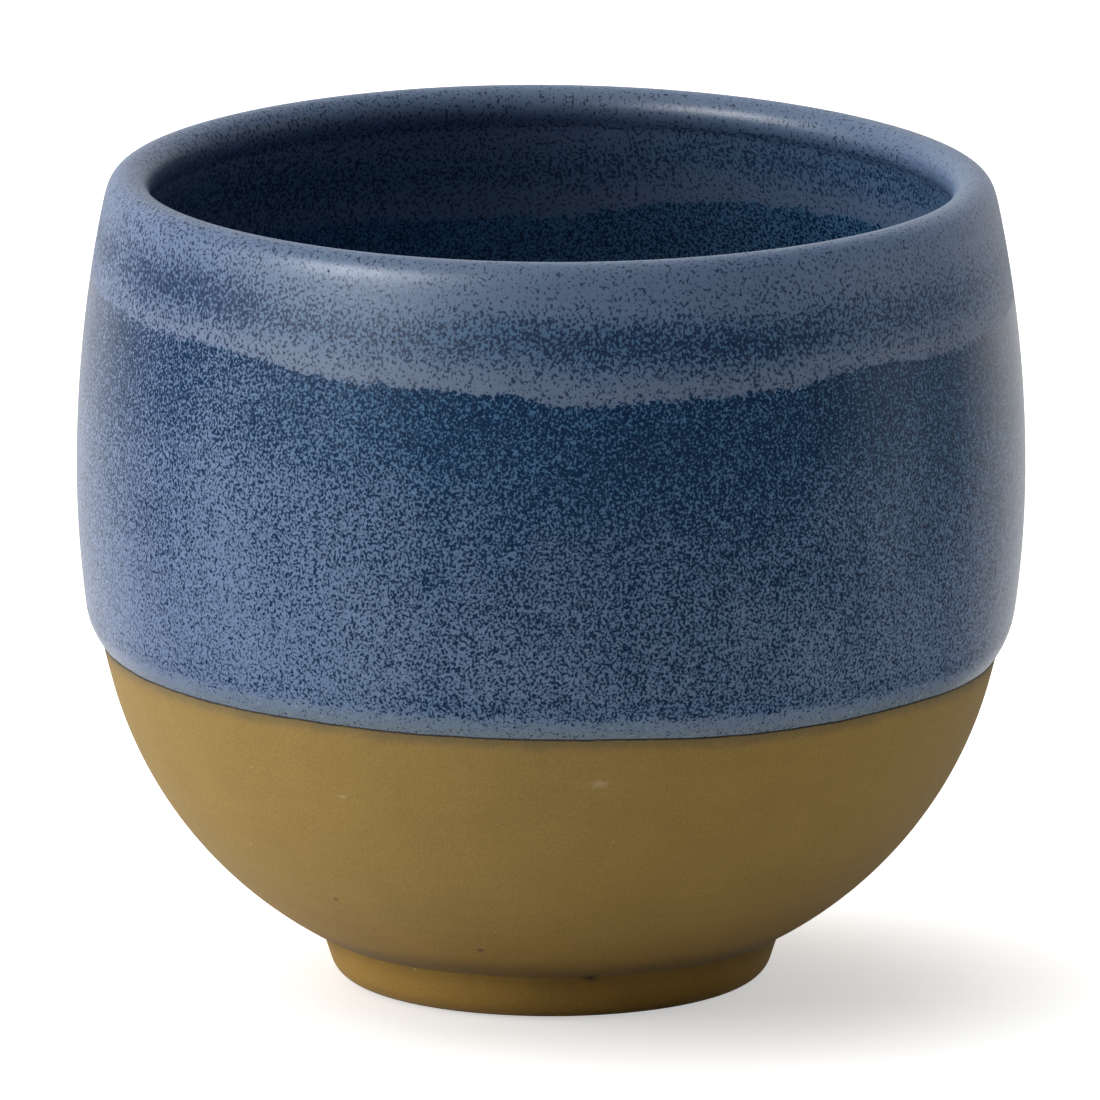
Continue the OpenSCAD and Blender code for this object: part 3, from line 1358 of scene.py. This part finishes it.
@dataclass(frozen=True)
class Studio:
    """Camera, floor, lamps and surroundings.

    The surroundings have one level for the light that falls on matt surfaces and one for reflections.
    """

    aim: Place = (-0.0001, 0.0, 0.03925)
    pitch_deg: float = 12.56
    distance: float = 4.0
    lens: float = 1444.0
    sensor: float = 36.0
    near_clip: float = 0.05
    far_clip: float = 50.0
    window: Lamp = Lamp("window", (-0.980, -0.085, 0.180), 1.2, (1.05, 0.44), 9.8)
    key: Lamp = Lamp("key", (-0.698, -0.527, 0.485), 1.1, (0.55, 0.42), 14.5)
    room: Patch = Patch(1.52, ((Axis.Y, -0.70, 0.0),))
    room_shade: Patch = Patch(0.90, ((Axis.X, -0.10, 0.45), (Axis.Z, 0.08, 0.38)))
    ceiling: Patch = Patch(1.0, ((Axis.Z, 0.55, 0.95),))
    left_fill: Patch = Patch(0.5, ((Axis.X, 0.0, -0.5), (Axis.Y, 0.0, -0.5), (Axis.Z, 0.1, 0.45)))
    right_fill: Patch = Patch(0.45, ((Axis.X, 0.3, 0.8), (Axis.Z, 0.28, 0.02), (Axis.Y, -0.6, 0.0)))
    back_gloss: Patch = Patch(0.90, ((Axis.Y, 0.30, 0.85),))
    right_gloss: Patch = Patch(0.55, ((Axis.X, 0.4, 0.9), (Axis.Y, 0.5, 0.0), (Axis.Y, -0.4, 0.1)))
    right_dull: Patch = Patch(0.6, ((Axis.X, 0.1, 0.6), (Axis.Z, -0.15, -0.45)))
    low_dull: Patch = Patch(0.8, ((Axis.Z, -0.30, -0.65),))
    white: Colour = (1.0, 1.0, 1.0)
    floor_radius: float = 3.0
    floor_hole: float = 0.0165
    floor_z: float = -0.00005
    floor_sides: int = 96
    floor_colour: Colour = (0.86, 0.86, 0.86)
    floor_glow: float = 0.5

    def camera(self) -> None:
        """Makes the camera at the photograph's angle."""
        lens = bpy.data.cameras.new("camera")
        lens.sensor_width = self.sensor
        lens.lens = self.lens
        lens.clip_start = self.near_clip
        lens.clip_end = self.far_clip
        camera = bpy.data.objects.new("camera", lens)
        pitch = math.radians(self.pitch_deg)
        back = Vector((0.0, -math.cos(pitch), math.sin(pitch)))
        turned = (-back).to_track_quat("-Z", "Y").to_matrix().to_4x4()
        camera.matrix_world = Matrix.Translation(Vector(self.aim) + back * self.distance) @ turned
        bpy.context.scene.collection.objects.link(camera)
        bpy.context.scene.camera = camera

    def lamp(self, kind: Lamp) -> bpy.types.Object:
        """Adds a lamp.

        Args:
            kind: What the lamp is like and where it stands.

        Returns:
            The lamp.
        """
        light = bpy.data.lights.new(kind.name, "AREA")
        light.shape = "RECTANGLE"
        light.size, light.size_y = kind.size
        light.energy = kind.power
        lamp = bpy.data.objects.new(kind.name, light)
        away = Vector(kind.direction).normalized()
        lamp.location = Vector(self.aim) + away * kind.distance
        lamp.rotation_euler = away.to_track_quat("Z", "Y").to_euler()
        bpy.context.scene.collection.objects.link(lamp)
        return lamp

    def surroundings(self) -> None:
        """Makes the world, which is white to the camera."""
        world = bpy.data.worlds.new("studio")
        bpy.context.scene.world = world
        recipe = Recipe(world)
        look = recipe.split(recipe.node("ShaderNodeTexCoord").outputs["Generated"])
        ray = recipe.node("ShaderNodeLightPath")
        seen = Value(recipe, ray.outputs["Is Camera Ray"])
        mirrored = Value(recipe, ray.outputs["Is Glossy Ray"])
        matt = self.room.over(look) * (1 - self.room_shade.over(look)) * (1 + self.ceiling.over(look))
        matt = matt + self.left_fill.over(look) + self.right_fill.over(look)
        gloss = self.back_gloss.over(look) + self.right_gloss.over(look)
        gloss = gloss * (1 - self.right_dull.over(look)) * (1 - self.low_dull.over(look))
        level = matt + (gloss - matt) * mirrored
        sockets = {"Color": (*self.white, 1.0), "Strength": level + (1 - level) * seen}
        back = recipe.node("ShaderNodeBackground", {}, sockets)
        recipe.node("ShaderNodeOutputWorld", {}, {"Surface": back.outputs["Background"]})

    def floor_finish(self) -> bpy.types.Material:
        """Makes the matt finish of the floor, which glows a little to the camera and is clear from beneath.

        Returns:
            The material.
        """
        made = bpy.data.materials.new("floor")
        recipe = Recipe(made)
        seen = Value(recipe, recipe.node("ShaderNodeLightPath").outputs["Is Camera Ray"])
        beneath = recipe.node("ShaderNodeNewGeometry").outputs["Backfacing"]
        matt = recipe.node("ShaderNodeBsdfDiffuse", {}, {"Color": (*self.floor_colour, 1.0)})
        glow = recipe.node("ShaderNodeEmission", {}, {"Strength": seen * self.floor_glow})
        both = recipe.node("ShaderNodeAddShader", {}, {0: matt.outputs["BSDF"], 1: glow.outputs["Emission"]})
        clear = recipe.node("ShaderNodeBsdfTransparent")
        sockets = {0: beneath, 1: both.outputs["Shader"], 2: clear.outputs["BSDF"]}
        sheet = recipe.node("ShaderNodeMixShader", {}, sockets)
        recipe.node("ShaderNodeOutputMaterial", {}, {"Surface": sheet.outputs["Shader"]})
        return made

    def floor(self) -> None:
        """Makes the pale floor, which keeps the cup's shadow and is open under the foot."""
        count = self.floor_sides
        turns = np.arange(count) * 2 * math.pi / count
        corners = [(radius * math.cos(turn), radius * math.sin(turn), self.floor_z)
                   for radius in (self.floor_hole, self.floor_radius) for turn in turns]
        faces = [(i, i + count, (i + 1) % count + count, (i + 1) % count) for i in range(count)]
        mesh = bpy.data.meshes.new("floor")
        mesh.from_pydata(corners, [], faces)
        mesh.materials.append(self.floor_finish())
        floor = bpy.data.objects.new("floor", mesh)
        bpy.context.scene.collection.objects.link(floor)
        floor.visible_glossy = False

    def build(self) -> None:
        """Sets up the studio, with a window that shows in no gloss and a key that shows in gloss alone."""
        bpy.context.scene.view_settings.view_transform = "Standard"
        self.camera()
        self.surroundings()
        self.floor()
        self.lamp(self.window).visible_glossy = False
        self.lamp(self.key).visible_diffuse = False


@dataclass
class TeaCup:
    """The cup: the turned clay and its three coats of glaze."""

    section: Section = field(default_factory=Section)

    def build(self) -> list[bpy.types.Object]:
        """Builds and dresses every piece.

        Returns:
            The pieces.
        """
        clay = BareClay("bare_clay", self.section).material()
        blue = BlueGlaze("blue_glaze", self.section).material()
        rim = BlueGlaze("rim_glaze", self.section).material()
        made = []
        for piece, finish in (
            (Bowl(self.section), clay),
            (Foot(self.section), clay),
            (InsideCoat(self.section), blue),
            (OutsideCoat(self.section), blue),
            (LipCoat(self.section), rim),
        ):
            made.append(piece.build(finish))
            log.info("%s: %d faces", piece.name, len(made[-1].data.polygons))
        return made


def main() -> None:
    """Builds the cup in its studio."""
    logging.basicConfig(level=logging.INFO)
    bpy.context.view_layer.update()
    Studio().build()
    TeaCup().build()


if __name__ == "__main__":
    main()
